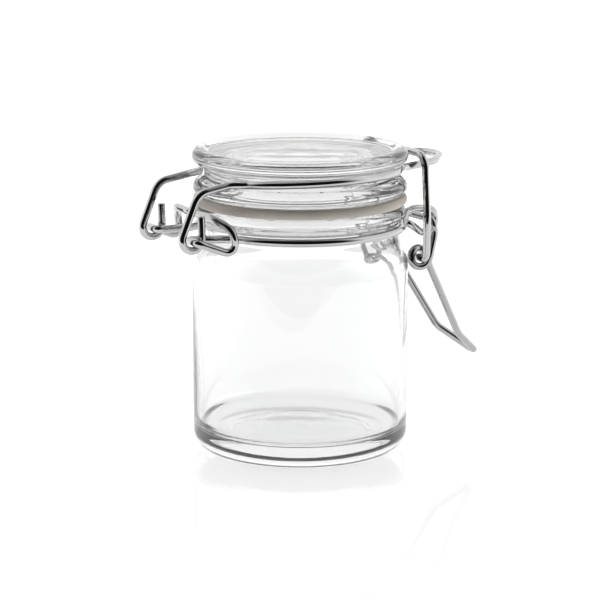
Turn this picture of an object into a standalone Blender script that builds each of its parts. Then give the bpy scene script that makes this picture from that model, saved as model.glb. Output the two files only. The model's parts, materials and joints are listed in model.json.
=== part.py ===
"""Small swing-top glass storage jar with a hinged glass lid and a wire latch.

Units are metres, +Z is up, the jar stands on Z = 0. +X points from the wire
hinge to the latch and its handle. The origin is the centre of the object's
bounding rectangle on the plane it stands on, so the jar's own axis lies a
little towards the hinge, at X = JAR_X.
"""
import math

import bpy
from mathutils import Vector

MM = 0.001

# ---------------------------------------------------------------- dimensions
JAR_X = -7.34 * MM          # jar axis, measured from the origin

WIRE_R = 1.0 * MM           # every wire is 2 mm round steel
FIT_GAP = 0.35 * MM         # between a wire and the glass it clasps

BODY_R = 28.0 * MM          # outer radius of the jar body
BORE_R = 26.0 * MM          # inner radius of the body
NECK_R = 25.3 * MM          # neck groove that holds the neck wire
MOUTH_R = 22.3 * MM         # open mouth
RIM_R = 27.3 * MM           # bead round the mouth
RIM_Z = 64.7 * MM           # top of the rim
FLOOR_Z = 5.6 * MM          # inner floor
FOOT_R = 22.7 * MM          # outer radius of the foot ring
FOOT_IN_R = 18.5 * MM       # inner radius of the foot ring
PUNT_Z = 1.3 * MM           # hollow under the base

SEAL_Z0 = 65.0 * MM         # rubber ring
SEAL_Z1 = 67.0 * MM
SEAL_R = 27.6 * MM
SEAL_IN_R = 21.3 * MM

LID_SEAT_Z = 67.3 * MM      # underside of the lid bead
LID_TOP_Z = 79.3 * MM       # raised rim round the top
LID_R = 27.9 * MM           # overhanging flange
LID_BEAD_R = 27.7 * MM
PLUG_R = 20.8 * MM          # plug that sits in the mouth
PLUG_Z = 61.5 * MM          # bottom of the plug

NECK_RING_Z = 59.0 * MM
LID_RING_R = 26.0 * MM        # lid wire round its groove
LID_RING_Z = 72.9 * MM        # its height at the hinge; it bows up from there

HINGE = Vector((-37.1, 0.0, 59.7)) * MM     # lid hinge axis, along Y
PIVOT = Vector((33.1, 0.0, 59.1)) * MM      # latch lever pivot, along Y
COIL = Vector((29.9, 0.0, 49.1)) * MM       # centre of the lever's coils
COIL_R = 2.45 * MM                          # coil centre-line radius
HOOK_R = 2.75 * MM                          # hinge hook centre-line radius

EAR_Y = 9.0 * MM            # plane of each latch ear
COIL_IN_Y = 9.3 * MM        # inner turn of each lever coil
ARM_Y = 11.7 * MM           # plane of each lever arm
HOOK_Y = 11.0 * MM          # plane of each hinge arm and hook
BAIL_Y = 14.0 * MM          # foot of each bail upright
BAIL_TOP_Y = 13.7 * MM
BAIL_TOP_X = 29.4 * MM
BAIL_TOP_Z = 76.6 * MM

TURN_STEPS = 48             # facets round a turned piece
ARC_STEP = math.radians(16.0)

# ------------------------------------------------------------------ the file
for old in list(bpy.data.objects):
    bpy.data.objects.remove(old, do_unlink=True)

collection = bpy.data.collections.new("swing_top_glass_jar")
bpy.context.scene.collection.children.link(collection)


def material(name, colour, roughness, metallic=0.0, transmission=0.0, ior=1.45):
    mat = bpy.data.materials.new(name)
    mat.use_nodes = True
    shader = mat.node_tree.nodes["Principled BSDF"]
    shader.inputs["Base Color"].default_value = (*colour, 1.0)
    shader.inputs["Roughness"].default_value = roughness
    shader.inputs["Metallic"].default_value = metallic
    shader.inputs["Transmission Weight"].default_value = transmission
    shader.inputs["IOR"].default_value = ior
    return mat


jar_glass_mat = material("jar_glass", (0.93, 0.95, 0.95), 0.03, 0.0, 1.0, 1.5)
lid_glass_mat = material("lid_glass", (0.93, 0.95, 0.95), 0.03, 0.0, 1.0, 1.5)
seal_mat = material("seal_rubber", (0.62, 0.57, 0.49), 0.55)
neck_wire_mat = material("neck_wire_steel", (0.62, 0.62, 0.62), 0.18, 1.0)
lid_wire_mat = material("lid_wire_steel", (0.62, 0.62, 0.62), 0.18, 1.0)
lever_mat = material("lever_steel", (0.62, 0.62, 0.62), 0.18, 1.0)
bail_mat = material("bail_steel", (0.62, 0.62, 0.62), 0.18, 1.0)


def axis_empty(name, point):
    """An empty on a joint's axis; the pieces that turn there hang from it."""
    empty = bpy.data.objects.new(name, None)
    empty.location = point + Vector((JAR_X, 0.0, 0.0))
    empty.empty_display_size = 5 * MM
    collection.objects.link(empty)
    return empty


def place(obj, origin, parent):
    """Put an object whose data is measured from origin where it belongs."""
    if parent is None:
        obj.location = origin + Vector((JAR_X, 0.0, 0.0))
    else:
        obj.parent = parent
        obj.location = origin + Vector((JAR_X, 0.0, 0.0)) - parent.location
    collection.objects.link(obj)


# ------------------------------------------------------------- turned pieces
def turned(name, profile, mat, origin=Vector((0.0, 0.0, 0.0)), parent=None,
           closed=False):
    """Screw a profile of (radius, height) points round the jar's axis."""
    mesh = bpy.data.meshes.new(name)
    points = [(r, 0.0, z - origin.z) for r, z in profile]
    edges = [(i, i + 1) for i in range(len(points) - 1)]
    if closed:
        edges.append((len(points) - 1, 0))
    mesh.from_pydata(points, edges, [])
    mesh.materials.append(mat)
    obj = bpy.data.objects.new(name, mesh)
    screw = obj.modifiers.new("turn", "SCREW")
    screw.axis = "Z"
    screw.angle = 2.0 * math.pi
    screw.steps = TURN_STEPS
    screw.render_steps = TURN_STEPS
    screw.use_merge_vertices = True
    screw.merge_threshold = 0.00002
    screw.use_smooth_shade = True
    screw.use_normal_calculate = False
    place(obj, Vector((0.0, 0.0, origin.z)), parent)
    return obj


def corner(r0, z0, r1, z1, start, end, steps):
    """Quarter-ellipse between two turned surfaces, centre (r0, z0)."""
    pts = []
    for i in range(steps + 1):
        a = math.radians(start + (end - start) * i / steps)
        pts.append((r0 + r1 * math.cos(a), z0 + z1 * math.sin(a)))
    return pts


def s_curve(r0, z0, r1, z1, steps):
    """Smooth shoulder from (r0, z0) to (r1, z1), both ends excluded."""
    pts = []
    for i in range(1, steps):
        t = i / steps
        s = t * t * (3.0 - 2.0 * t)
        pts.append((r0 + (r1 - r0) * s, z0 + (z1 - z0) * t))
    return pts


def jar_profile():
    pts = [(0.0, FLOOR_Z), (FOOT_IN_R, FLOOR_Z)]
    # rounded inner heel, straight bore, inner shoulder, mouth
    pts += corner(18.8 * MM, 11.8 * MM, BORE_R - 18.8 * MM, 6.2 * MM, -80, 0, 5)
    pts += [(BORE_R, 48.6 * MM)]
    pts += s_curve(BORE_R, 48.6 * MM, MOUTH_R, 57.6 * MM, 5)
    pts += [(MOUTH_R, 57.6 * MM), (MOUTH_R, 63.9 * MM)]
    # rim: flat land between two rounded edges
    pts += [(MOUTH_R + 0.25 * MM, 64.45 * MM), (MOUTH_R + 0.9 * MM, RIM_Z),
            (25.7 * MM, RIM_Z)]
    # bead, neck groove and shoulder outside
    pts += corner(25.5 * MM, 62.8 * MM, RIM_R - 25.5 * MM, 1.75 * MM, 62, -62, 6)
    pts += [(25.62 * MM, 60.5 * MM), (NECK_R + 0.03 * MM, 59.5 * MM),
            (NECK_R, NECK_RING_Z), (NECK_R + 0.05 * MM, 57.2 * MM)]
    pts += s_curve(NECK_R + 0.05 * MM, 57.2 * MM, BODY_R, 48.8 * MM, 6)
    pts += [(BODY_R, 48.8 * MM)]
    # straight side, rounded heel, foot ring and hollow base
    pts += corner(FOOT_R, 6.4 * MM, BODY_R - FOOT_R, 6.4 * MM, 0, -90, 7)
    pts += [(FOOT_IN_R, 0.0), (FOOT_IN_R - 1.2 * MM, 0.45 * MM),
            (14.0 * MM, 0.85 * MM), (0.0, PUNT_Z)]
    return pts


def lid_profile():
    pts = [(0.0, 78.4 * MM), (23.1 * MM, 78.4 * MM), (23.8 * MM, 78.75 * MM),
           (24.5 * MM, 79.2 * MM), (25.2 * MM, LID_TOP_Z)]
    # rounded flange
    pts += corner(25.9 * MM, 77.3 * MM, LID_R - 25.9 * MM, 2.0 * MM, 80, -70, 7)
    # groove that holds the lid wire, with room for the wire's bow
    pts += [(25.9 * MM, 75.38 * MM), (25.3 * MM, 75.2 * MM), (24.8 * MM, 74.8 * MM),
            (24.65 * MM, 74.2 * MM), (24.65 * MM, 72.7 * MM), (24.8 * MM, 72.1 * MM),
            (25.3 * MM, 71.7 * MM), (25.9 * MM, 71.5 * MM)]
    # lower bead and the flat seat for the rubber ring
    pts += [(26.5 * MM, 71.3 * MM)]
    pts += corner(25.9 * MM, 69.3 * MM, LID_BEAD_R - 25.9 * MM, 2.0 * MM, 45, -80, 6)
    pts += [(21.2 * MM, LID_SEAT_Z)]
    # tapered plug, hollow underneath
    pts += [(PLUG_R, 66.9 * MM), (20.5 * MM, 62.6 * MM), (20.0 * MM, 61.75 * MM),
            (19.2 * MM, PLUG_Z), (18.4 * MM, 61.75 * MM), (18.0 * MM, 62.6 * MM),
            (17.5 * MM, 71.0 * MM), (16.6 * MM, 73.2 * MM), (14.2 * MM, 74.5 * MM),
            (0.0, 75.0 * MM)]
    return pts


def seal_profile():
    c = 0.35 * MM
    return [(SEAL_R - c, SEAL_Z1), (SEAL_R, SEAL_Z1 - c), (SEAL_R, SEAL_Z0 + c),
            (SEAL_R - c, SEAL_Z0), (SEAL_IN_R + c, SEAL_Z0),
            (SEAL_IN_R, SEAL_Z0 + c), (SEAL_IN_R, SEAL_Z1 - c),
            (SEAL_IN_R + c, SEAL_Z1)]


# --------------------------------------------------------------------- wires
def bend(points, closed=False):
    """Round each corner of a wire route. points are (Vector, bend radius)."""
    out = []
    n = len(points)
    for i, (p, r) in enumerate(points):
        if not closed and i in (0, n - 1):
            out.append(p.copy())
            continue
        a, b = points[i - 1][0], points[(i + 1) % n][0]
        u, v = (a - p), (b - p)
        la, lb = u.length, v.length
        u.normalize()
        v.normalize()
        turn = math.pi - u.angle(v)
        if r <= 0.0 or turn < math.radians(4.0):
            out.append(p.copy())
            continue
        t = min(r * math.tan(turn / 2.0), 0.48 * la, 0.48 * lb)
        radius = t / math.tan(turn / 2.0)
        centre = p + (u + v).normalized() * (radius / math.cos(turn / 2.0))
        start, end = p + u * t, p + v * t
        steps = max(2, math.ceil(turn / ARC_STEP))
        s, e = start - centre, end - centre
        for k in range(steps + 1):
            f = k / steps
            w = (s * math.sin((1.0 - f) * turn) + e * math.sin(f * turn)) / math.sin(turn) \
                if turn < math.radians(175.0) else s.lerp(e, f)
            out.append(centre + w)
    return out


def ring(radius, z, start, end, step=9.0):
    """Points of a level ring from angle start to angle end, in degrees."""
    n = max(1, round(abs(end - start) / step))
    return [(Vector((radius * math.cos(math.radians(start + (end - start) * i / n)),
                     radius * math.sin(math.radians(start + (end - start) * i / n)),
                     z)), 0.0) for i in range(n + 1)]


def mirrored(half):
    """A symmetric wire from its near half, which starts on the plane Y = 0."""
    far = [(Vector((p.x, -p.y, p.z)), r) for p, r in reversed(half[1:])]
    return far + half


def wire(name, points, mat, origin, parent=None, closed=False):
    curve = bpy.data.curves.new(name, "CURVE")
    curve.dimensions = "3D"
    curve.bevel_depth = WIRE_R
    curve.bevel_resolution = 2
    curve.use_fill_caps = True
    spline = curve.splines.new("POLY")
    spline.points.add(len(points) - 1)
    for target, p in zip(spline.points, points):
        target.co = (*(p - origin), 1.0)
    spline.use_cyclic_u = closed
    spline.use_smooth = True
    curve.materials.append(mat)
    obj = bpy.data.objects.new(name, curve)
    place(obj, origin, parent)
    return obj


def at(x, y, z, r=0.0):
    return (Vector((x, y, z)) * MM, r * MM)


def neck_wire_route():
    """One endless wire: ring, two latch ears and two hinge loops."""
    r = NECK_R + FIT_GAP + WIRE_R
    ear = EAR_Y / MM
    half = [at(26.75, 0.0, 58.2), at(26.0, -6.6, 58.3, 3.0)]
    # ear: out along its lower side, round the end, back along its top
    half += [at(27.6, -ear, 58.2, 1.6), at(32.0, -ear, 55.0, 2.2),
             at(35.7, -ear, 56.4, 2.4), at(35.5, -ear, 61.4, 2.2),
             at(29.2, -ear, 62.0, 3.5), at(26.6, -9.2, 61.2, 2.0),
             at(24.6, -11.4, 59.1, 2.5)]
    half += ring(r, NECK_RING_Z, -33.0, -156.0)
    # leg to the hinge and the pin across the hook
    pin_x, pin_z = HINGE.x / MM, HINGE.z / MM
    half += [at(-27.6, -9.3, 59.1, 3.0), at(pin_x, -8.3, pin_z, 1.25),
             at(pin_x, -13.8, pin_z, 1.25)]
    # loop: forward under the leg, up round its front, and over the back
    half += [at(-26.9, -14.9, 55.7, 2.4), at(-27.7, -15.4, 62.2, 3.6),
             at(-31.0, -9.3, 64.9, 5.0), at(-31.6, 0.0, 64.9)]
    far = [(Vector((p.x, -p.y, p.z)), rr) for p, rr in reversed(half[1:-1])]
    return bend(half + far, closed=True)


def lid_ring(start, end, step=9.0):
    """The lid wire in its groove: low at the hinge, bowed up on its way round."""
    pts = []
    for p, r in ring(LID_RING_R, 0.0, start, end, step):
        t = (150.0 - abs(math.degrees(math.atan2(p.y, p.x)))) / 120.0
        z = LID_RING_Z + (0.8 * t + 0.65 * math.sin(math.pi * t)) * MM
        pts.append((Vector((p.x, p.y, z)), r))
    return pts


def lid_wire_route():
    """Nose at the latch, ring in the lid groove, two hooked hinge arms."""
    y = HOOK_Y / MM
    half = [at(41.1, 0.0, 74.5), at(40.7, -3.4, 74.5, 5.0), at(35.4, -9.2, 74.1, 5.0),
            at(25.4, -10.9, 73.4, 3.0)]
    half += lid_ring(-30.0, -150.0)
    half += [at(-26.2, -y, 72.9, 3.0), at(-35.3, -y, 71.45, 4.5)]
    # hook: comes down behind the pin, under it and up on the near side
    cx, cz, hook = -37.1, 60.1, HOOK_R / MM
    for i in range(13):
        a = math.radians(156.5 + (360.0 - 156.5) * i / 12)
        half.append(at(cx + hook * math.cos(a), -y, cz + hook * math.sin(a)))
    half += [at(-34.5, -y, 65.6)]
    return bend(mirrored(half))


def coil_points(y0, y1, start, end, steps):
    """Coil of the lever, turning from angle start to end as y goes y0 to y1."""
    pts = []
    for i in range(steps + 1):
        f = i / steps
        a = math.radians(start + (end - start) * f)
        pts.append((Vector((COIL.x + COIL_R * math.cos(a), y0 + (y1 - y0) * f,
                            COIL.z + COIL_R * math.sin(a))), 0.0))
    return pts


def lever_route():
    """Handle tip, arm, coil, upper arm and pivot end, on both sides."""
    half = [at(56.0, 0.0, 18.15, 1.2), at(46.0, -5.2, 26.0, 6.0)]
    inner = coil_points(COIL_IN_Y, ARM_Y, 29.0, 356.0, 17)
    half += [(Vector((p.x, -p.y, p.z)), 0.0) for p, _ in inner]
    arm = ARM_Y / MM
    half += [at(34.0, -arm, 55.8, 8.0), at(PIVOT.x / MM, -arm, PIVOT.z / MM, 1.5),
             at(PIVOT.x / MM, -1.2, PIVOT.z / MM)]
    return bend(mirrored(half))


def bail_route():
    """Top bar, two uprights and two ends turned in through the coils."""
    half = [at(BAIL_TOP_X / MM, 0.0, BAIL_TOP_Z / MM + 0.1),
            (Vector((BAIL_TOP_X, -BAIL_TOP_Y, BAIL_TOP_Z)), 3.8 * MM),
            at(29.6, -14.8, 60.0, 40.0),
            (Vector((COIL.x, -BAIL_Y, COIL.z)), 1.8 * MM),
            (Vector((COIL.x, -8.1 * MM, COIL.z)), 0.0)]
    return bend(mirrored(half))


# ------------------------------------------------------------------ assembly
ZERO = Vector((0.0, 0.0, 0.0))
turned("jar_glass", jar_profile(), jar_glass_mat)
wire("neck_wire", neck_wire_route(), neck_wire_mat, ZERO, closed=True)

hinge_axis = axis_empty("lid_hinge_axis", HINGE)
turned("lid_glass", lid_profile(), lid_glass_mat, parent=hinge_axis)
turned("seal_ring", seal_profile(), seal_mat, parent=hinge_axis, closed=True)
wire("lid_wire", lid_wire_route(), lid_wire_mat, HINGE, parent=hinge_axis)

pivot_axis = axis_empty("lever_pivot_axis", PIVOT)
wire("latch_lever", lever_route(), lever_mat, PIVOT, parent=pivot_axis)
bail_axis = axis_empty("bail_pivot_axis", COIL)
wire("latch_bail", bail_route(), bail_mat, COIL, parent=bail_axis)
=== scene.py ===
import json
import math

import bpy
import numpy as np
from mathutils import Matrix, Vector


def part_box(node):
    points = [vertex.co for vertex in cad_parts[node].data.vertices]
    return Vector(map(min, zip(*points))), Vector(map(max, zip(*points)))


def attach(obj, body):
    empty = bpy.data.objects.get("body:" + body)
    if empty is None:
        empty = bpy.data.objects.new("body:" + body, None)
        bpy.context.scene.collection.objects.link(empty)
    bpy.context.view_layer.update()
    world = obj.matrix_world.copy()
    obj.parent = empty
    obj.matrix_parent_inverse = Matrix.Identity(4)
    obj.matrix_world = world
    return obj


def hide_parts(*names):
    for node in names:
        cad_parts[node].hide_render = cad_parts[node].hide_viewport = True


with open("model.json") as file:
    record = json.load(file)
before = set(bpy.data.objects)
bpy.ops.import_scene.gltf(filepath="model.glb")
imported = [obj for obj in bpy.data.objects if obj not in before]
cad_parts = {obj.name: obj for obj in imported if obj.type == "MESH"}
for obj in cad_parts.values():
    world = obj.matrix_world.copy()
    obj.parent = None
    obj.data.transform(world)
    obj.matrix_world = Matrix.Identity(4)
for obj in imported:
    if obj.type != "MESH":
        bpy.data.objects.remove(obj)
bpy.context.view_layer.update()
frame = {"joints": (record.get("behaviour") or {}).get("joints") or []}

MM = 0.001

# ------------------------------------------------------------------ positions
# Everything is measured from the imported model: the jar's axis is the middle of
# the jar's own box, and the pivots are the joints' positions.
jar_low, jar_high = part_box("jar_glass")
JAR_X = (jar_low.x + jar_high.x) / 2.0
lid_low, lid_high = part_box("lid_glass")
joint_at = {j["name"]: Vector(j["pos_m"]) for j in frame["joints"]}


def from_axis(v):
    return Vector((v.x - JAR_X, v.y, v.z))


HINGE = from_axis(joint_at["lid_hinge"])
PIVOT = from_axis(joint_at["lever_pivot"])
COIL = from_axis(joint_at["bail_pivot"])

WIRE_R = 1.0 * MM
FIT_GAP = 0.35 * MM
NECK_R = 25.3 * MM
COIL_R = 2.45 * MM
HOOK_R = 2.75 * MM
EAR_Y = 9.0 * MM
COIL_IN_Y = 9.3 * MM
ARM_Y = 11.7 * MM
HOOK_Y = 11.0 * MM
BAIL_Y = 14.0 * MM
BAIL_TOP_Y = 13.7 * MM
BAIL_TOP_X = 29.4 * MM
BAIL_TOP_Z = 76.6 * MM
NECK_RING_Z = 59.0 * MM
LID_RING_R = 26.0 * MM
LID_RING_Z = 72.9 * MM
ARC_STEP = math.radians(5.0)


# --------------------------------------------------------------------- camera
# Standing at the jar's latch-left quarter, a little above the lid.
camera_data = bpy.data.cameras.new("camera")
camera_data.type = "PERSP"
camera_data.sensor_width = 36.0
camera_data.lens = 142.6
camera_data.clip_start = 0.05
camera_data.clip_end = 20.0
camera = bpy.data.objects.new("camera", camera_data)
bpy.context.scene.collection.objects.link(camera)
bpy.context.scene.camera = camera
camera.location = Vector((JAR_X - 0.3016, -0.5245, 0.1699))
aim = Vector((JAR_X, 0.0, 0.0389))
camera.rotation_mode = "QUATERNION"
camera.rotation_quaternion = (aim - camera.location).to_track_quat("-Z", "Y")


# ------------------------------------------------------------------ materials
def new_material(name):
    mat = bpy.data.materials.new(name)
    mat.use_nodes = True
    tree = mat.node_tree
    return mat, tree, tree.nodes["Principled BSDF"]


def node(tree, kind, **values):
    n = tree.nodes.new(kind)
    for key, value in values.items():
        if hasattr(n, key) and key not in n.inputs:
            setattr(n, key, value)
        else:
            n.inputs[key].default_value = value
    return n


def glass_material(name, tint, wave_scale, wave_strength, haze):
    """Clear pressed glass: slow waves, faint fine ripple and a trace of haze."""
    mat, tree, shader = new_material(name)
    link = tree.links.new
    coords = node(tree, "ShaderNodeTexCoord")
    slow = node(tree, "ShaderNodeTexNoise", Scale=wave_scale, Detail=1.5, Roughness=0.4)
    fine = node(tree, "ShaderNodeTexNoise", Scale=wave_scale * 7.0, Detail=2.0, Roughness=0.5)
    stretch = node(tree, "ShaderNodeMapping")
    stretch.inputs["Scale"].default_value = (1.0, 1.0, 0.45)
    link(coords.outputs["Object"], stretch.inputs["Vector"])
    link(stretch.outputs["Vector"], slow.inputs["Vector"])
    link(stretch.outputs["Vector"], fine.inputs["Vector"])
    bump_slow = node(tree, "ShaderNodeBump", Strength=wave_strength, Distance=0.0006)
    bump_fine = node(tree, "ShaderNodeBump", Strength=wave_strength * 0.25, Distance=0.0001)
    link(slow.outputs["Fac"], bump_slow.inputs["Height"])
    link(fine.outputs["Fac"], bump_fine.inputs["Height"])
    link(bump_slow.outputs["Normal"], bump_fine.inputs["Normal"])
    link(bump_fine.outputs["Normal"], shader.inputs["Normal"])
    tone = node(tree, "ShaderNodeValToRGB")
    tone.color_ramp.elements[0].position = 0.3
    tone.color_ramp.elements[0].color = (tint[0] * 0.992, tint[1] * 0.995, tint[2] * 0.996, 1.0)
    tone.color_ramp.elements[1].position = 0.7
    tone.color_ramp.elements[1].color = (*tint, 1.0)
    link(slow.outputs["Fac"], tone.inputs["Fac"])
    link(tone.outputs["Color"], shader.inputs["Base Color"])
    shader.inputs["Roughness"].default_value = 0.0
    shader.inputs["IOR"].default_value = 1.5
    shader.inputs["Transmission Weight"].default_value = 1.0 - haze
    return mat


def steel_material(name, tone_value):
    """Bright drawn wire: faint draw lines, small stains and uneven polish."""
    mat, tree, shader = new_material(name)
    link = tree.links.new
    coords = node(tree, "ShaderNodeTexCoord")
    patch = node(tree, "ShaderNodeTexNoise", Scale=160.0, Detail=3.0, Roughness=0.55)
    grain = node(tree, "ShaderNodeTexNoise", Scale=1500.0, Detail=2.0, Roughness=0.6)
    link(coords.outputs["Object"], patch.inputs["Vector"])
    link(coords.outputs["Object"], grain.inputs["Vector"])
    tone = node(tree, "ShaderNodeValToRGB")
    tone.color_ramp.elements[0].position = 0.25
    tone.color_ramp.elements[0].color = (tone_value * 0.88, tone_value * 0.87, tone_value * 0.86, 1.0)
    tone.color_ramp.elements[1].position = 0.75
    tone.color_ramp.elements[1].color = (tone_value, tone_value, tone_value * 1.005, 1.0)
    link(patch.outputs["Fac"], tone.inputs["Fac"])
    link(tone.outputs["Color"], shader.inputs["Base Color"])
    rough = node(tree, "ShaderNodeMapRange")
    rough.inputs["To Min"].default_value = 0.03
    rough.inputs["To Max"].default_value = 0.09
    link(grain.outputs["Fac"], rough.inputs["Value"])
    link(rough.outputs["Result"], shader.inputs["Roughness"])
    bump = node(tree, "ShaderNodeBump", Strength=0.12, Distance=0.00004)
    link(grain.outputs["Fac"], bump.inputs["Height"])
    link(bump.outputs["Normal"], shader.inputs["Normal"])
    shader.inputs["Metallic"].default_value = 1.0
    return mat


def rubber_material(name):
    """Beige-white sealing rubber: soft, slightly mottled, fine matt grain."""
    mat, tree, shader = new_material(name)
    link = tree.links.new
    coords = node(tree, "ShaderNodeTexCoord")
    mottle = node(tree, "ShaderNodeTexNoise", Scale=240.0, Detail=4.0, Roughness=0.6)
    grain = node(tree, "ShaderNodeTexNoise", Scale=2600.0, Detail=2.0, Roughness=0.6)
    link(coords.outputs["Object"], mottle.inputs["Vector"])
    link(coords.outputs["Object"], grain.inputs["Vector"])
    tone = node(tree, "ShaderNodeValToRGB")
    tone.color_ramp.elements[0].position = 0.3
    tone.color_ramp.elements[0].color = (0.68, 0.635, 0.57, 1.0)
    tone.color_ramp.elements[1].position = 0.72
    tone.color_ramp.elements[1].color = (0.74, 0.70, 0.635, 1.0)
    link(mottle.outputs["Fac"], tone.inputs["Fac"])
    link(tone.outputs["Color"], shader.inputs["Base Color"])
    rough = node(tree, "ShaderNodeMapRange")
    rough.inputs["To Min"].default_value = 0.48
    rough.inputs["To Max"].default_value = 0.66
    link(grain.outputs["Fac"], rough.inputs["Value"])
    link(rough.outputs["Result"], shader.inputs["Roughness"])
    bump = node(tree, "ShaderNodeBump", Strength=0.25, Distance=0.00005)
    link(grain.outputs["Fac"], bump.inputs["Height"])
    link(bump.outputs["Normal"], shader.inputs["Normal"])
    shader.inputs["Subsurface Weight"].default_value = 0.15
    shader.inputs["Subsurface Scale"].default_value = 0.002
    shader.inputs["Specular IOR Level"].default_value = 0.3
    return mat


jar_mat = glass_material("clear_jar_glass", (0.996, 0.998, 0.997), 55.0, 0.10, 0.055)
lid_mat = glass_material("clear_lid_glass", (0.996, 0.998, 0.997), 70.0, 0.06, 0.045)
seal_mat = rubber_material("seal_rubber")
neck_wire_mat = steel_material("neck_wire_steel", 0.62)
lid_wire_mat = steel_material("lid_wire_steel", 0.64)
# The lever is the same steel as the other wires. Its lower base colour is painted shade, so its arms come
# out darker than the rest.
lever_painted_shade_mat = steel_material("lever_steel", 0.50)
bail_mat = steel_material("bail_steel", 0.64)


# --------------------------------------------------------------- turned glass
def finish_mesh(name, verts, faces, mat, sharp=None):
    mesh = bpy.data.meshes.new(name)
    mesh.from_pydata(verts, [], faces)
    mesh.validate()
    mesh.materials.append(mat)
    mesh.shade_smooth()
    if sharp is not None:
        mesh.set_sharp_from_angle(angle=math.radians(sharp))
    obj = bpy.data.objects.new(name, mesh)
    bpy.context.scene.collection.objects.link(obj)
    return obj


def lathe(name, profile, mat, segments=192, wobble=None, closed=False, sharp=None):
    """Turn (radius, height, weight) points round the jar's axis. The profile
    runs with the material on its right-hand side seen from -Y at +X, so faces
    point out. wobble(angle, radius, height) moves a point by weight."""
    verts, rows = [], []
    for r, z, w in profile:
        if r < 1e-7:
            rows.append([len(verts)])
            verts.append((JAR_X, 0.0, z))
            continue
        row = []
        for s in range(segments):
            a = 2.0 * math.pi * s / segments
            dr, dz = wobble(a, r, z) if wobble and w else (0.0, 0.0)
            rr = r + dr * w
            row.append(len(verts))
            verts.append((JAR_X + rr * math.cos(a), rr * math.sin(a), z + dz * w))
        rows.append(row)
    faces = []
    pairs = list(zip(rows, rows[1:]))
    if closed:
        pairs.append((rows[-1], rows[0]))
    for upper, lower in pairs:
        for s in range(segments):
            t = (s + 1) % segments
            if len(upper) == 1 and len(lower) == 1:
                continue
            if len(upper) == 1:
                faces.append((upper[0], lower[s], lower[t]))
            elif len(lower) == 1:
                faces.append((upper[s], lower[0], upper[t]))
            else:
                faces.append((upper[s], lower[s], lower[t], upper[t]))
    return finish_mesh(name, verts, faces, mat, sharp)


def arc(r0, z0, r1, z1, start, end, steps, w=0.0):
    return [(r0 + r1 * math.cos(math.radians(start + (end - start) * i / steps)),
             z0 + z1 * math.sin(math.radians(start + (end - start) * i / steps)), w)
            for i in range(steps + 1)]


def ease(r0, z0, r1, z1, steps, w=0.0):
    out = []
    for i in range(steps + 1):
        t = i / steps
        s = t * t * (3.0 - 2.0 * t)
        out.append((r0 + (r1 - r0) * s, z0 + (z1 - z0) * t, w))
    return out


def line(r0, z0, r1, z1, steps, w=0.0):
    return [(r0 + (r1 - r0) * i / steps, z0 + (z1 - z0) * i / steps, w)
            for i in range(steps + 1)]


def tidy(points):
    out = []
    for p in points:
        if not out or math.hypot(p[0] - out[-1][0], p[1] - out[-1][1]) > 2e-5:
            out.append(p)
    return out


def smooth_profile(points, rounds=2, keep=()):
    """Corner-cutting on an open profile; the end points stay."""
    pts = list(points)
    for _ in range(rounds):
        new = [pts[0]]
        for a, b in zip(pts, pts[1:]):
            d = math.hypot(b[0] - a[0], b[1] - a[1])
            f = min(0.25, 0.35 * MM / d) if d > 0 else 0.25
            new.append(tuple(a[k] + (b[k] - a[k]) * f for k in range(3)))
            new.append(tuple(b[k] + (a[k] - b[k]) * f for k in range(3)))
        new.append(pts[-1])
        pts = tidy(new)
    return pts


def wall_wobble(a, r, z):
    """The inside of a pressed jar is never quite round or straight."""
    t = z / MM
    dr = (0.16 * math.sin(2.0 * a + 0.9 + 0.035 * t)
          + 0.09 * math.sin(3.0 * a - 0.6 - 0.06 * t)
          + 0.10 * math.sin(0.11 * t + 1.3 * math.cos(a)))
    return dr * MM, 0.0


def floor_wobble(a, r, z):
    q = min(1.0, r / (20.0 * MM))
    return 0.0, (0.10 * math.sin(2.0 * a + 0.4) + 0.06 * math.sin(3.0 * a)) * q * MM


MOUTH_R, RIM_R, RIM_Z, BODY_R, BORE_R = 22.3 * MM, 27.3 * MM, 64.7 * MM, 28.0 * MM, 26.0 * MM
FLOOR_Z, FOOT_R, FOOT_IN_R, PUNT_Z = 5.6 * MM, 22.7 * MM, 18.5 * MM, 0.5 * MM


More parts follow.
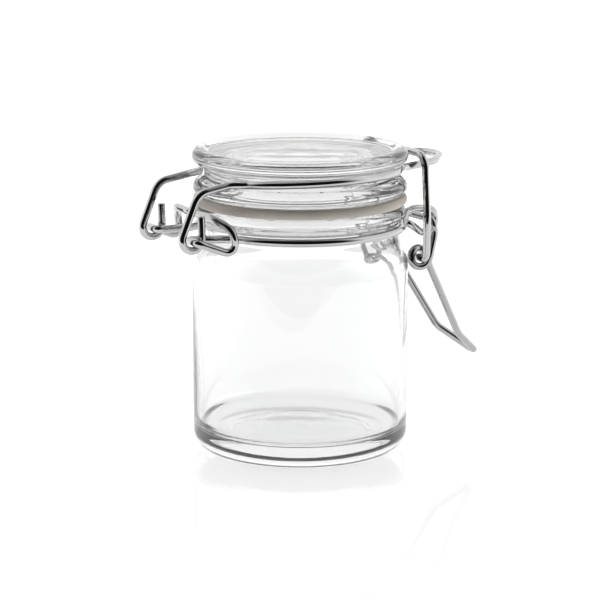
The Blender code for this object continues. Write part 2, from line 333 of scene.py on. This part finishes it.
def jar_profile():
    p = line(0.0, FLOOR_Z, 19.2 * MM, FLOOR_Z, 8, 0.0)
    p += arc(20.5 * MM, FLOOR_Z + 2.6 * MM, BORE_R - 20.5 * MM, 2.6 * MM, -84, 0, 16, 0.0)
    p += line(BORE_R, 9.0 * MM, BORE_R, 48.0 * MM, 28, 1.0)
    p += ease(BORE_R, 48.6 * MM, MOUTH_R, 57.6 * MM, 14, 0.5)
    p += line(MOUTH_R, 58.2 * MM, MOUTH_R, 63.6 * MM, 4)
    p += arc(MOUTH_R + 0.9 * MM, 63.8 * MM, 0.9 * MM, 0.9 * MM, 180, 90, 6)
    p += [(25.6 * MM, RIM_Z, 0.0)]
    p += arc(25.5 * MM, 62.8 * MM, RIM_R - 25.5 * MM, 1.75 * MM, 70, -62, 14)
    p += [(25.62 * MM, 60.5 * MM, 0.0), (25.38 * MM, 59.6 * MM, 0.0),
          (NECK_R, 58.6 * MM, 0.0), (NECK_R + 0.02 * MM, 57.6 * MM, 0.0)]
    p += ease(NECK_R + 0.05 * MM, 57.2 * MM, BODY_R, 48.8 * MM, 14)
    p += line(BODY_R, 48.0 * MM, BODY_R, 5.9 * MM, 20)
    p += arc(FOOT_R, BODY_R - FOOT_R, BODY_R - FOOT_R, BODY_R - FOOT_R, 0, -90, 18)
    p += [(FOOT_IN_R, 0.0, 0.0), (FOOT_IN_R - 0.6 * MM, 0.12 * MM, 0.0),
          (FOOT_IN_R - 1.6 * MM, 0.28 * MM, 0.0), (14.0 * MM, PUNT_Z * 0.65, 0.0),
          (7.0 * MM, PUNT_Z * 0.93, 0.0), (0.0, PUNT_Z, 0.0)]
    return smooth_profile(tidy(p), 2)


def lid_profile():
    p = [(0.0, 78.4 * MM, 0.0), (8.0 * MM, 78.4 * MM, 0.0), (16.0 * MM, 78.4 * MM, 0.0),
         (22.9 * MM, 78.4 * MM, 0.0), (23.5 * MM, 78.58 * MM, 0.0),
         (24.1 * MM, 78.98 * MM, 0.0), (24.7 * MM, 79.24 * MM, 0.0), (25.3 * MM, 79.3 * MM, 0.0)]
    p += arc(25.9 * MM, 77.3 * MM, 2.0 * MM, 2.0 * MM, 86, -68, 20)
    p += [(r * MM, z * MM, 0.0) for r, z in (
        (25.9, 75.38), (25.3, 75.2), (24.8, 74.8), (24.65, 74.2), (24.65, 73.4),
        (24.65, 72.7), (24.8, 72.1), (25.3, 71.7), (25.9, 71.5), (26.5, 71.3))]
    p += arc(25.9 * MM, 69.3 * MM, 1.8 * MM, 2.0 * MM, 50, -84, 16)
    p += [(23.0 * MM, 67.3 * MM, 0.0), (21.3 * MM, 67.3 * MM, 0.0), (20.85 * MM, 67.1 * MM, 0.0),
          (20.75 * MM, 66.6 * MM, 0.0), (20.6 * MM, 64.5 * MM, 0.0), (20.45 * MM, 62.7 * MM, 0.0),
          (20.1 * MM, 61.95 * MM, 0.0), (19.2 * MM, 61.5 * MM, 0.0), (18.35 * MM, 61.9 * MM, 0.0),
          (18.0 * MM, 62.7 * MM, 0.0), (17.75 * MM, 67.0 * MM, 0.0), (17.45 * MM, 71.0 * MM, 0.0),
          (17.1 * MM, 72.3 * MM, 0.0), (16.3 * MM, 73.5 * MM, 0.0), (15.0 * MM, 74.3 * MM, 0.0),
          (13.0 * MM, 74.7 * MM, 0.0), (7.0 * MM, 74.95 * MM, 0.0), (0.0, 75.0 * MM, 0.0)]
    return smooth_profile(tidy(p), 2)


def seal_profile():
    """A flat rubber ring, its outer edge squeezed a little proud and round."""
    z0, z1, r_out, r_in = 64.85 * MM, 67.2 * MM, 27.6 * MM, 21.3 * MM
    mid, half = (z0 + z1) / 2.0, (z1 - z0) / 2.0
    p = arc(r_out - 0.7 * MM, mid, 0.7 * MM, half, 90, -90, 14, 1.0)
    p += arc(r_in + 0.5 * MM, mid, -0.5 * MM, half, -90, 90, 10, 0.0)
    return tidy(p)


def seal_wobble(a, r, z):
    return (0.05 * math.sin(5.0 * a) + 0.04 * math.sin(9.0 * a + 1.0)) * MM - 0.04 * MM, 0.0


jar = lathe("jar_glass_body", jar_profile(), jar_mat, 192, wall_wobble)
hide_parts("jar_glass"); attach(jar, "jar")
lid = lathe("lid_glass_body", lid_profile(), lid_mat, 192)
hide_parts("lid_glass"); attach(lid, "lid")
seal = lathe("seal_ring_body", seal_profile(), seal_mat, 160, seal_wobble, closed=True)
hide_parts("seal_ring"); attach(seal, "lid")


# ---------------------------------------------------------------------- wires
def bend(points, closed=False):
    """Round each corner of a wire route. points are (Vector, bend radius)."""
    out = []
    n = len(points)
    for i, (p, r) in enumerate(points):
        if not closed and i in (0, n - 1):
            out.append(p.copy())
            continue
        a, b = points[i - 1][0], points[(i + 1) % n][0]
        u, v = (a - p), (b - p)
        la, lb = u.length, v.length
        u.normalize()
        v.normalize()
        turn = math.pi - u.angle(v)
        if r <= 0.0 or turn < math.radians(3.0):
            out.append(p.copy())
            continue
        t = min(r * math.tan(turn / 2.0), 0.48 * la, 0.48 * lb)
        radius = t / math.tan(turn / 2.0)
        centre = p + (u + v).normalized() * (radius / math.cos(turn / 2.0))
        s, e = p + u * t - centre, p + v * t - centre
        steps = max(3, math.ceil(turn / ARC_STEP))
        for k in range(steps + 1):
            f = k / steps
            out.append(centre + (s * math.sin((1.0 - f) * turn) + e * math.sin(f * turn)) / math.sin(turn))
    return out


def ring(radius, z, start, end, step=2.5):
    n = max(1, round(abs(end - start) / step))
    return [(Vector((radius * math.cos(math.radians(start + (end - start) * i / n)),
                     radius * math.sin(math.radians(start + (end - start) * i / n)),
                     z)), 0.0) for i in range(n + 1)]


def mirrored(half):
    return [(Vector((p.x, -p.y, p.z)), r) for p, r in reversed(half[1:])] + half


def at(x, y, z, r=0.0):
    return (Vector((x, y, z)) * MM, r * MM)


def neck_wire_route():
    r = NECK_R + FIT_GAP + WIRE_R
    ear = EAR_Y / MM
    half = [at(26.75, 0.0, 58.2), at(26.0, -6.6, 58.3, 3.0),
            at(27.6, -ear, 58.2, 1.6), at(32.0, -ear, 55.0, 2.2),
            at(35.7, -ear, 56.4, 2.4), at(35.5, -ear, 61.4, 2.2),
            at(29.2, -ear, 62.0, 3.5), at(26.6, -9.2, 61.2, 2.0),
            at(24.6, -11.4, 59.1, 2.5)]
    half += ring(r, NECK_RING_Z, -33.0, -156.0)
    pin_x, pin_z = HINGE.x / MM, HINGE.z / MM
    half += [at(-27.6, -9.3, 59.1, 3.0), at(pin_x, -8.3, pin_z, 1.25),
             at(pin_x, -13.8, pin_z, 1.25),
             at(-26.9, -14.9, 55.7, 2.4), at(-27.7, -15.4, 62.2, 3.6),
             at(-31.0, -9.3, 64.9, 5.0), at(-31.6, 0.0, 64.9)]
    far = [(Vector((p.x, -p.y, p.z)), rr) for p, rr in reversed(half[1:-1])]
    return bend(half + far, closed=True)


def lid_ring(start, end, step=2.5):
    """The lid wire in its groove: low at the hinge, bowed up on its way round."""
    pts = []
    for p, r in ring(LID_RING_R, 0.0, start, end, step):
        t = (150.0 - abs(math.degrees(math.atan2(p.y, p.x)))) / 120.0
        z = LID_RING_Z + (0.8 * t + 0.65 * math.sin(math.pi * t)) * MM
        pts.append((Vector((p.x, p.y, z)), r))
    return pts


def lid_wire_route():
    y = HOOK_Y / MM
    half = [at(41.1, 0.0, 74.5), at(40.7, -3.4, 74.5, 5.0), at(35.4, -9.2, 74.1, 5.0),
            at(25.4, -10.9, 73.4, 3.0)]
    half += lid_ring(-30.0, -150.0)
    half += [at(-26.2, -y, 72.9, 3.0), at(-35.3, -y, 71.45, 4.5)]
    cx, cz, hook = -37.1, 60.1, HOOK_R / MM
    for i in range(37):
        a = math.radians(156.5 + (360.0 - 156.5) * i / 36)
        half.append(at(cx + hook * math.cos(a), -y, cz + hook * math.sin(a)))
    half += [at(-34.5, -y, 65.6)]
    return bend(mirrored(half))


def coil_points(y0, y1, start, end, steps):
    pts = []
    for i in range(steps + 1):
        f = i / steps
        a = math.radians(start + (end - start) * f)
        pts.append((Vector((COIL.x + COIL_R * math.cos(a), y0 + (y1 - y0) * f,
                            COIL.z + COIL_R * math.sin(a))), 0.0))
    return pts


def lever_route():
    half = [at(56.0, 0.0, 18.15, 1.2), at(46.0, -5.2, 26.0, 6.0)]
    inner = coil_points(COIL_IN_Y, ARM_Y, 29.0, 356.0, 60)
    half += [(Vector((p.x, -p.y, p.z)), 0.0) for p, _ in inner]
    arm = ARM_Y / MM
    half += [at(34.0, -arm, 55.8, 8.0), at(PIVOT.x / MM, -arm, PIVOT.z / MM, 1.5),
             at(PIVOT.x / MM, -1.2, PIVOT.z / MM)]
    return bend(mirrored(half))


def bail_route():
    half = [at(BAIL_TOP_X / MM, 0.0, BAIL_TOP_Z / MM + 0.1),
            (Vector((BAIL_TOP_X, -BAIL_TOP_Y, BAIL_TOP_Z)), 3.8 * MM),
            at(29.6, -14.8, 60.0, 40.0),
            (Vector((COIL.x, -BAIL_Y, COIL.z)), 1.8 * MM),
            (Vector((COIL.x, -8.1 * MM, COIL.z)), 0.0)]
    return bend(mirrored(half))


def resample(points, step, closed):
    """Even spacing, so that the tube's rings don't crowd or stretch."""
    pts = [np.array(p, float) for p in points]
    if closed:
        pts.append(pts[0])
    pts = np.array(pts)
    seg = np.linalg.norm(np.diff(pts, axis=0), axis=1)
    keep = np.concatenate([[True], seg > 1e-7])
    pts = pts[keep]
    seg = np.linalg.norm(np.diff(pts, axis=0), axis=1)
    s = np.concatenate([[0.0], np.cumsum(seg)])
    n = max(8, int(round(s[-1] / step)))
    t = np.linspace(0.0, s[-1], n + 1)
    if closed:
        t = t[:-1]
    return np.stack([np.interp(t, s, pts[:, k]) for k in range(3)], axis=1)


def soften(pts, closed, rounds=3):
    """A little smoothing, as bent wire has no sudden change of curvature."""
    for _ in range(rounds):
        if closed:
            pts = 0.25 * np.roll(pts, 1, 0) + 0.5 * pts + 0.25 * np.roll(pts, -1, 0)
        else:
            inner = 0.25 * pts[:-2] + 0.5 * pts[1:-1] + 0.25 * pts[2:]
            pts = np.vstack([pts[:1], inner, pts[-1:]])
    return pts


def tube(name, route, mat, closed=False, sides=20, step=0.35 * MM):
    """A round wire swept along a route, its cut ends lightly chamfered."""
    pts = soften(resample(route, step, closed), closed)
    n = len(pts)
    tang = np.zeros_like(pts)
    if closed:
        tang = np.roll(pts, -1, 0) - np.roll(pts, 1, 0)
    else:
        tang[1:-1] = pts[2:] - pts[:-2]
        tang[0], tang[-1] = pts[1] - pts[0], pts[-1] - pts[-2]
    tang /= np.linalg.norm(tang, axis=1)[:, None]
    ref = np.array((0.0, 0.0, 1.0)) if abs(tang[0][2]) < 0.9 else np.array((1.0, 0.0, 0.0))
    normal = np.cross(tang[0], ref)
    normal /= np.linalg.norm(normal)
    normals = [normal]
    for i in range(1, n):
        v = normals[-1] - tang[i] * np.dot(normals[-1], tang[i])
        normals.append(v / np.linalg.norm(v))
    normals = np.array(normals)
    if closed:
        back = normals[-1] - tang[0] * np.dot(normals[-1], tang[0])
        back /= np.linalg.norm(back)
        side = np.cross(tang[0], normals[0])
        twist = math.atan2(np.dot(back, side), np.dot(back, normals[0]))
        for i in range(n):
            a = -twist * i / n
            b = np.cross(tang[i], normals[i])
            normals[i] = normals[i] * math.cos(a) + b * math.sin(a)
    sections = [(pts[i], normals[i], tang[i], WIRE_R) for i in range(n)]
    if not closed:
        c = 0.22 * MM
        first, last = sections[0], sections[-1]
        sections = ([(first[0] - first[2] * c, first[1], first[2], WIRE_R - c)] + sections
                    + [(last[0] + last[2] * c, last[1], last[2], WIRE_R - c)])
    verts, faces = [], []
    for p, u, t, r in sections:
        w = np.cross(t, u)
        for s in range(sides):
            a = 2.0 * math.pi * s / sides
            q = p + (u * math.cos(a) + w * math.sin(a)) * r
            verts.append((q[0] + JAR_X, q[1], q[2]))
    m = len(sections)
    for i in range(m if closed else m - 1):
        j = (i + 1) % m
        for s in range(sides):
            t2 = (s + 1) % sides
            faces.append((i * sides + s, i * sides + t2, j * sides + t2, j * sides + s))
    if not closed:
        faces.append(tuple(reversed(range(sides))))
        faces.append(tuple((m - 1) * sides + s for s in range(sides)))
    return finish_mesh(name, verts, faces, mat, None if closed else 50.0)


neck_wire = tube("neck_wire_round", neck_wire_route(), neck_wire_mat, closed=True)
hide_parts("neck_wire"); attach(neck_wire, "jar")
lid_wire = tube("lid_wire_round", lid_wire_route(), lid_wire_mat)
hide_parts("lid_wire"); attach(lid_wire, "lid")
lever = tube("latch_lever_round", lever_route(), lever_painted_shade_mat)
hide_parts("latch_lever"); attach(lever, "lever")
bail = tube("latch_bail_round", bail_route(), bail_mat)
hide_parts("latch_bail"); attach(bail, "bail")


# ------------------------------------------------------------ floor and light
# A lit white table that ends a little in front of the jar.
toward = Vector((-0.4985, -0.8669, 0.0))
across = Vector((toward.y, -toward.x, 0.0))
FRONT_EDGE = 0.21
corners = [toward * FRONT_EDGE + across * 6.0, toward * FRONT_EDGE - across * 6.0,
           toward * -6.0 - across * 6.0, toward * -6.0 + across * 6.0]
floor_mesh = bpy.data.meshes.new("floor")
floor_mesh.from_pydata([tuple(c) for c in corners], [], [(0, 1, 2, 3)])
floor = bpy.data.objects.new("floor", floor_mesh)
bpy.context.scene.collection.objects.link(floor)
floor.location.z = -0.00002
floor_mat, floor_tree, floor_shader = new_material("floor_white")
floor_coords = node(floor_tree, "ShaderNodeTexCoord")
floor_noise = node(floor_tree, "ShaderNodeTexNoise", Scale=3.0, Detail=2.0)
floor_tree.links.new(floor_coords.outputs["Object"], floor_noise.inputs["Vector"])
floor_tone = node(floor_tree, "ShaderNodeValToRGB")
floor_tone.color_ramp.elements[0].color = (0.595, 0.595, 0.595, 1.0)
floor_tone.color_ramp.elements[1].color = (0.605, 0.605, 0.605, 1.0)
floor_tree.links.new(floor_noise.outputs["Fac"], floor_tone.inputs["Fac"])
floor_tree.links.new(floor_tone.outputs["Color"], floor_shader.inputs["Base Color"])
floor_shader.inputs["Roughness"].default_value = 0.06
floor_shader.inputs["IOR"].default_value = 1.3
floor_shader.inputs["Emission Color"].default_value = (1.0, 1.0, 1.0, 1.0)
floor_shader.inputs["Emission Strength"].default_value = 0.67
floor_mesh.materials.append(floor_mat)

world = bpy.data.worlds.new("studio")
bpy.context.scene.world = world
world.use_nodes = True
wt = world.node_tree
background = wt.nodes["Background"]
background.inputs["Strength"].default_value = 1.0
# White studio all round; the unlit room lies beyond the front of the table.
w_coords = node(wt, "ShaderNodeTexCoord")
w_flat = node(wt, "ShaderNodeVectorMath", operation="MULTIPLY")
w_flat.inputs[1].default_value = (1.0, 1.0, 0.0)
w_unit = node(wt, "ShaderNodeVectorMath", operation="NORMALIZE")
w_dot = node(wt, "ShaderNodeVectorMath", operation="DOT_PRODUCT")
w_dot.inputs[1].default_value = toward
w_split = node(wt, "ShaderNodeSeparateXYZ")
w_side = node(wt, "ShaderNodeMapRange", interpolation_type="SMOOTHSTEP")
w_side.inputs["From Min"].default_value = math.cos(math.radians(80))
w_side.inputs["From Max"].default_value = math.cos(math.radians(47))
w_high = node(wt, "ShaderNodeMapRange", interpolation_type="SMOOTHSTEP")
w_high.inputs["From Min"].default_value = math.sin(math.radians(46))
w_high.inputs["From Max"].default_value = math.sin(math.radians(72))
w_high.inputs["To Max"].default_value = 0.8
w_mask = node(wt, "ShaderNodeMath", operation="MAXIMUM")
w_ramp = node(wt, "ShaderNodeValToRGB")
w_ramp.color_ramp.elements[0].position = 0.0
w_ramp.color_ramp.elements[0].color = (1.0, 1.0, 1.0, 1.0)
w_ramp.color_ramp.elements[1].position = 1.0
w_ramp.color_ramp.elements[1].color = (0.006, 0.006, 0.006, 1.0)
wt.links.new(w_coords.outputs["Generated"], w_flat.inputs[0])
wt.links.new(w_flat.outputs["Vector"], w_unit.inputs[0])
wt.links.new(w_unit.outputs["Vector"], w_dot.inputs[0])
wt.links.new(w_coords.outputs["Generated"], w_split.inputs["Vector"])
wt.links.new(w_dot.outputs["Value"], w_side.inputs["Value"])
wt.links.new(w_split.outputs["Z"], w_high.inputs["Value"])
wt.links.new(w_side.outputs["Result"], w_mask.inputs[0])
wt.links.new(w_high.outputs["Result"], w_mask.inputs[1])
wt.links.new(w_mask.outputs["Value"], w_ramp.inputs["Fac"])
wt.links.new(w_ramp.outputs["Color"], background.inputs["Color"])


def soft_box(name, position, target, size, power):
    data = bpy.data.lights.new(name, "AREA")
    data.shape = "RECTANGLE"
    data.size, data.size_y = size
    data.energy = power
    obj = bpy.data.objects.new(name, data)
    obj.location = position
    obj.rotation_mode = "QUATERNION"
    obj.rotation_quaternion = (Vector(target) - Vector(position)).to_track_quat("-Z", "Y")
    bpy.context.scene.collection.objects.link(obj)
    return obj


soft_box("soft_top", (0.1, 0.25, 1.3), (0.0, 0.0, 0.0), (1.4, 1.4), 1.2)

bpy.context.scene.view_settings.view_transform = "Standard"
bpy.context.scene.view_settings.look = "None"
